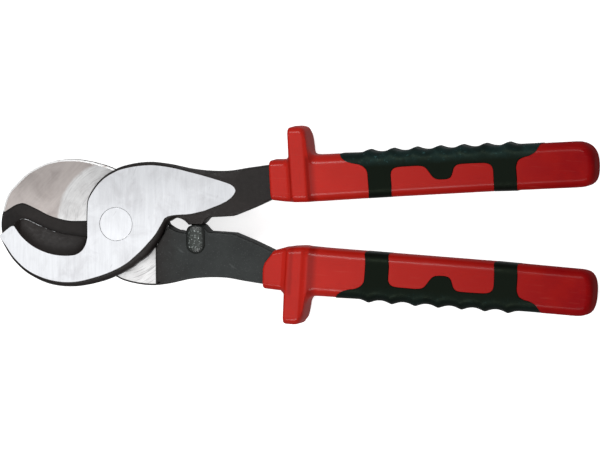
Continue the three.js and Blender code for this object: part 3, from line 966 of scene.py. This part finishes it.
def grip_plan(name, side, levels):
    """An upright block over what a grip covers; a level is a height and how far it grows there."""
    outline = closed_outline(GRIP_RUNS, 0.7)
    if side < 0:
        outline = [(x + min(0.0, x - GRIP_STRETCH_CENTRE) * (LOWER_GRIP_STRETCH - 1), y)
                   for x, y in outline]
    outline = anticlockwise(outline)
    return loft(name, [[(x, y, height) for x, y in offset_outline(outline, grow)]
                       for height, grow in levels])


def grip_core(extra):
    """What lies under a grip."""
    depth = GRIP_DEPTH + extra
    inner, outer, half = HANDLE_IN + depth, HANDLE_OUT - depth, HALF_SLEEVE - depth
    return loft("grip_core", [section(x, inner, outer, half, 3.0, 3.0, 3.0) for x in CORE_SPAN])


def rim_levels(top, rim, inside):
    """Levels of a block that grows by one amount over a handle's faces and another between."""
    return [(-BEYOND, rim), (-top, rim), (0.3 - top, inside),
            (top - 0.3, inside), (top, rim), (BEYOND, rim)]


def build_sleeve(name, side):
    sleeve = loft(name, sleeve_rings(side))
    pocket = grip_plan("pocket", side, rim_levels(HALF_SLEEVE, 0.13, 0.03))
    combine(pocket, grip_core(FIT), "DIFFERENCE")
    start, end, wide, tall = TANG
    tang_hole = rectangle(start, end + FIT, -wide - FIT, wide + FIT)
    front, back, half_width, half_height = SOCKET
    socket = rectangle(front, back, -half_width, half_width)
    for cutter in (
        pocket,
        slab("tang_hole", tang_hole, -tall - FIT, tall + FIT),
        slab("socket", socket, -half_height, half_height),
    ):
        combine(sleeve, cutter, "DIFFERENCE")
    return place(sleeve, handle_matrix(side))


def build_grip(name, side, crest, proud):
    half = HALF_SLEEVE + proud
    grip = grip_skin(name, side, crest, half)
    combine(grip, grip_plan("plan", side, rim_levels(half, -0.15, 0.0)), "INTERSECT")
    combine(grip, grip_core(0.0), "DIFFERENCE")
    return place(grip, handle_matrix(side))


# ------------------------ settings
def length_setting(name, description, default, low=0.0):
    return bpy.props.FloatProperty(
        name=name, description=description, default=default, min=low, unit="LENGTH"
    )


def colour_setting(name, description, default):
    return bpy.props.FloatVectorProperty(
        name=name, description=description, default=default, min=0, max=1, subtype="COLOR"
    )


class CutterSizes(bpy.types.PropertyGroup):
    crest_height: length_setting(
        "Crest height", "How far the crests stand out between the finger rests", 0.0013)
    grip_proud: length_setting(
        "Grip stand-off", "How far the grips stand out of the sleeves' faces", 0.00025)
    relief_depth: length_setting(
        "Relief depth", "Depth of the dark hollow in the rear jaw", 0.0009, 0.0004)
    rivet_chamfer: length_setting(
        "Rivet chamfer", "Fine chamfer round the flush rivet heads", 0.00015)
    floor_margin: length_setting(
        "Floor reach", "How far the floor runs beyond the tool", 1.2, 0.3)


class CutterColours(bpy.types.PropertyGroup):
    steel: colour_setting(
        "Ground steel", "Bright steel off the grinding belt", (0.85, 0.865, 0.895))
    rear_steel: colour_setting(
        "Rear steel", "The warmer lap face of the rear jaw", (0.65, 0.59, 0.565))
    forged: colour_setting(
        "Forged steel", "Brown-black oxide of the front lever", (0.0095, 0.0068, 0.006))
    rear_forged: colour_setting(
        "Rear forged steel", "Green-black oxide of the rear lever", (0.018, 0.021, 0.0205))
    red: colour_setting(
        "Red", "Insulation beside the guards", (0.43, 0.0115, 0.0055))
    # The red at the ends is darkened by painted shade.
    red_end_shaded: colour_setting(
        "Red at the ends", "Insulation at the handles' ends", (0.215, 0.002, 0.0035))
    black: colour_setting("Grip black", "Soft grips", (0.002, 0.0034, 0.0026))
    floor: colour_setting("Floor", "Plain pale floor", (0.78, 0.78, 0.78))


# ------------------------ operators
class CUTTERS_OT_levers(bpy.types.Operator):
    """Models the two crossed steel levers with their blades, shanks and tangs"""

    bl_idname = "cutters.levers"
    bl_label = "Levers"

    def execute(self, context):
        colours = context.scene.cutter_colours
        front_forged = forged_steel("front_forged", colours.forged, (0.05, 0.043, 0.04))
        rear_forged = forged_steel(
            "rear_forged", colours.rear_forged, (0.12, 0.13, 0.13), colours.forged)
        # shade sets how dark the painted shade over each ground face's +Y side gets.
        front_ground = ground_steel("front_ground", colours.steel, 0.0, 0.38, 0.12, shade=0.76)
        rear_ground = ground_steel(
            "rear_ground", colours.rear_steel, 0.75, 0.5, 0.14, shade=0.62, rubbed=(0.95,) * 3)
        # Painted glints: a broken bright line on the front jaw's land, and a bright, less metallic
        # rim on the rear jaw.
        land_glint = edge_glint_steel("honed_land_glint", colours.steel, colours.forged)
        rim = edge_glint_steel("rear_rim_glint", (0.9, 0.9, 0.9), colours.rear_steel, worn=0.36, metal=0.3)
        # Painted shadow: near-black oxide for the groove's floor.
        groove_shadow = forged_steel("groove_painted_shadow", (0.0012, 0.0012, 0.0012), (0.01, 0.01, 0.01))
        front = build_lever("front_jaw_lever", FRONT_RUNS, 1)
        paint(front, [front_forged, front_ground, land_glint, groove_shadow], lever_face(1))
        rear = build_lever("rear_jaw_lever", REAR_RUNS, -1)
        paint(rear, [rear_forged, rear_ground, rim, groove_shadow], lever_face(-1))
        floor = LAP_PLANE - LAP_GAP - context.scene.cutter_sizes.relief_depth / MM
        relief = slab("relief", closed_outline(RELIEF_RUNS), floor, LAP_PLANE + 1)
        bevel_rim(relief, floor, 0.4, 3)
        paint(relief, [front_forged])
        combine(rear, relief, "DIFFERENCE")
        install(smooth(front, 32), "front_half", "front_lever")
        install(smooth(rear, 32), "rear_half", "rear_lever")
        return {"FINISHED"}


class CUTTERS_OT_rivet(bpy.types.Operator):
    """Models the rivet, ground flush with both sides of the joint"""

    bl_idname = "cutters.rivet"
    bl_label = "Rivet"

    def execute(self, context):
        colours = context.scene.cutter_colours
        chamfer = context.scene.cutter_sizes.rivet_chamfer / MM
        rivet = cylinder("flush_rivet", SHAFT_RADIUS, -HALF_HEAD + 1, HALF_HEAD - 1)
        for low in (-HALF_HEAD, HALF_HEAD - RIVET_HEAD):
            combine(rivet, cylinder("head", RIVET_RADIUS, low, low + RIVET_HEAD, chamfer), "UNION")
        place(rivet, Matrix.Translation((0, 0, LAP_PLANE * MM)))
        bright = tint(colours.steel, 1.06)
        # The rivet's ground face takes the same painted shade towards +Y.
        paint(rivet, [ground_steel("rivet_ground", bright, 0.05, 0.2, 0.1, shade=0.78)])
        install(smooth(rivet, 32), "front_half", "pivot_rivet")
        return {"FINISHED"}


class CUTTERS_OT_stop(bpy.types.Operator):
    """Models the rough capsule that the shanks close on"""

    bl_idname = "cutters.stop"
    bl_label = "Closing stop"

    def execute(self, context):
        low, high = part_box("closing_stop")
        wider, longer = STOP_GROWTH
        half_width = (high.x - low.x) / 2 / MM + wider
        half_length = (high.y - low.y) / 2 / MM + longer
        straight = half_length - half_width
        tall = (high.z - low.z) / MM
        centre = (low + high) / 2 / MM + Vector(STOP_SHIFT)
        lumps = random.Random(11)
        rings = []
        for share, inset in STOP_PROFILE:
            ring = []
            for i in range(STOP_POINTS):
                angle = 2 * math.pi * i / STOP_POINTS
                upper = i < STOP_POINTS / 2
                rough = lumps.uniform(-STOP_LUMP, STOP_LUMP) if 0.6 < share < 1 else 0.0
                square = STOP_SQUARE if upper else 1.0
                x, y = (math.copysign(abs(part) ** square, part) * (half_width - inset + rough)
                        for part in (math.cos(angle), math.sin(angle)))
                ring.append((centre.x + x, centre.y + (straight if upper else -straight) + y,
                             low.z / MM + tall * share - abs(rough)))
            rings.append(ring)
        stop = loft("closing_capsule", rings)
        # The second colour is the painted glint.
        paint(stop, [stop_steel("stop_forged", (0.022, 0.028, 0.024), (0.6, 0.66, 0.64),
                                centre, straight, half_width)])
        install(smooth(stop, 70), "rear_half", "closing_stop")
        return {"FINISHED"}


class CUTTERS_OT_sleeves(bpy.types.Operator):
    """Models the two red insulated sleeves with their finger guards"""

    bl_idname = "cutters.sleeves"
    bl_label = "Sleeves"

    def execute(self, context):
        colours = context.scene.cutter_colours
        red = red_insulation(
            "red_insulation", colours.red, colours.red_end_shaded, 0.085, 0.19)
        for name, side, body in HANDLES:
            sleeve = build_sleeve(name + "_handle_sleeve", side)
            paint(sleeve, [red])
            install(smooth(sleeve, 40), body, name + "_sleeve")
        return {"FINISHED"}


class CUTTERS_OT_grips(bpy.types.Operator):
    """Models the two soft black grips with their finger rests"""

    bl_idname = "cutters.grips"
    bl_label = "Grips"

    def execute(self, context):
        colours = context.scene.cutter_colours
        sizes = context.scene.cutter_sizes
        # The third colour is the painted teal sheen.
        black = soft_black("soft_black", colours.black, (0.0075, 0.0195, 0.0195))
        for name, side, body in HANDLES:
            grip = build_grip(
                name + "_soft_grip", side, sizes.crest_height / MM, sizes.grip_proud / MM)
            paint(grip, [black])
            install(smooth(grip, 40), body, name + "_grip")
        return {"FINISHED"}


def soft_light(name, size, power, location, target):
    deselect_all()
    bpy.ops.object.light_add(type="AREA", location=location)
    light = bpy.context.object
    light.name = name
    light.data.shape = "RECTANGLE"
    light.data.size, light.data.size_y = size
    light.data.energy = power
    light.rotation_euler = (Vector(target) - Vector(location)).to_track_quat("-Z", "Y").to_euler()


class CUTTERS_OT_stage(bpy.types.Operator):
    """Sets the plain pale floor, the soft studio light and the camera"""

    bl_idname = "cutters.stage"
    bl_label = "Stage"

    def execute(self, context):
        scene = context.scene
        low, high = (Vector(corner) for corner in CAD_BOUNDS)
        centre = (low + high) / 2
        deselect_all()
        bpy.ops.mesh.primitive_plane_add(
            size=2 * scene.cutter_sizes.floor_margin, location=(centre.x, centre.y, low.z))
        floor = context.object
        floor.name = "floor"
        bpy.ops.object.transform_apply(location=True)
        shader = Shader("floor_paper")
        paper = shader.spread(shader.noise(9.0, 2.0, 0.5), 0.4, 0.6)
        tone = shader.blend(paper, scene.cutter_colours.floor, (0.8, 0.8, 0.8))
        paint(floor, [shader.finish(
            Base_Color=tone, Roughness=0.9, Emission_Color=(1, 1, 1), Emission_Strength=0.7)])
        floor.visible_diffuse = False
        floor.visible_glossy = False

        world = bpy.data.worlds.new("studio")
        scene.world = world
        world.use_nodes = True
        background = world.node_tree.nodes["Background"]
        background.inputs["Color"].default_value = (1.0, 1.0, 1.0, 1.0)
        background.inputs["Strength"].default_value = 0.32
        for name, size, power, location in LIGHTS:
            soft_light(name, size, power, location, centre)
        scene.view_settings.view_transform = "Standard"

        aim = Vector((*CAMERA_AIM, RIVET_TOP)) * MM
        back = Vector((*CAMERA_LEAN, 1.0)).normalized()
        upward = Vector((CAMERA_ROLL, 1.0, 0.0))
        upward = (upward - back * upward.dot(back)).normalized()
        turn = Matrix((upward.cross(back), upward, back)).transposed().to_4x4()
        bpy.ops.object.camera_add()
        camera = context.object
        camera.matrix_world = Matrix.Translation(aim + back * CAMERA_DISTANCE) @ turn
        camera.data.type = "ORTHO"
        camera.data.ortho_scale = CAMERA_WIDTH
        scene.camera = camera
        return {"FINISHED"}


class CUTTERS_PT_panel(bpy.types.Panel):
    """Lists the tool's pieces and settings"""

    bl_idname = "CUTTERS_PT_panel"
    bl_label = "Insulated Cable Cutters"
    bl_space_type = "VIEW_3D"
    bl_region_type = "UI"
    bl_category = "Cutters"

    def draw(self, context):
        layout = self.layout
        for operator in OPERATORS:
            layout.operator(operator.bl_idname)
        for settings in (context.scene.cutter_sizes, context.scene.cutter_colours):
            for key in settings.bl_rna.properties.keys():
                if key not in ("rna_type", "name"):
                    layout.prop(settings, key)


OPERATORS = (
    CUTTERS_OT_stage,
    CUTTERS_OT_levers,
    CUTTERS_OT_rivet,
    CUTTERS_OT_stop,
    CUTTERS_OT_sleeves,
    CUTTERS_OT_grips,
)
CLASSES = (CutterSizes, CutterColours, *OPERATORS, CUTTERS_PT_panel)


def register():
    for each in CLASSES:
        bpy.utils.register_class(each)
    bpy.types.Scene.cutter_sizes = bpy.props.PointerProperty(type=CutterSizes)
    bpy.types.Scene.cutter_colours = bpy.props.PointerProperty(type=CutterColours)


def unregister():
    del bpy.types.Scene.cutter_colours
    del bpy.types.Scene.cutter_sizes
    for each in reversed(CLASSES):
        bpy.utils.unregister_class(each)


def main():
    register()
    bpy.ops.cutters.stage()
    bpy.ops.cutters.levers()
    bpy.ops.cutters.rivet()
    bpy.ops.cutters.stop()
    bpy.ops.cutters.sleeves()
    bpy.ops.cutters.grips()


if __name__ == "__main__":
    main()
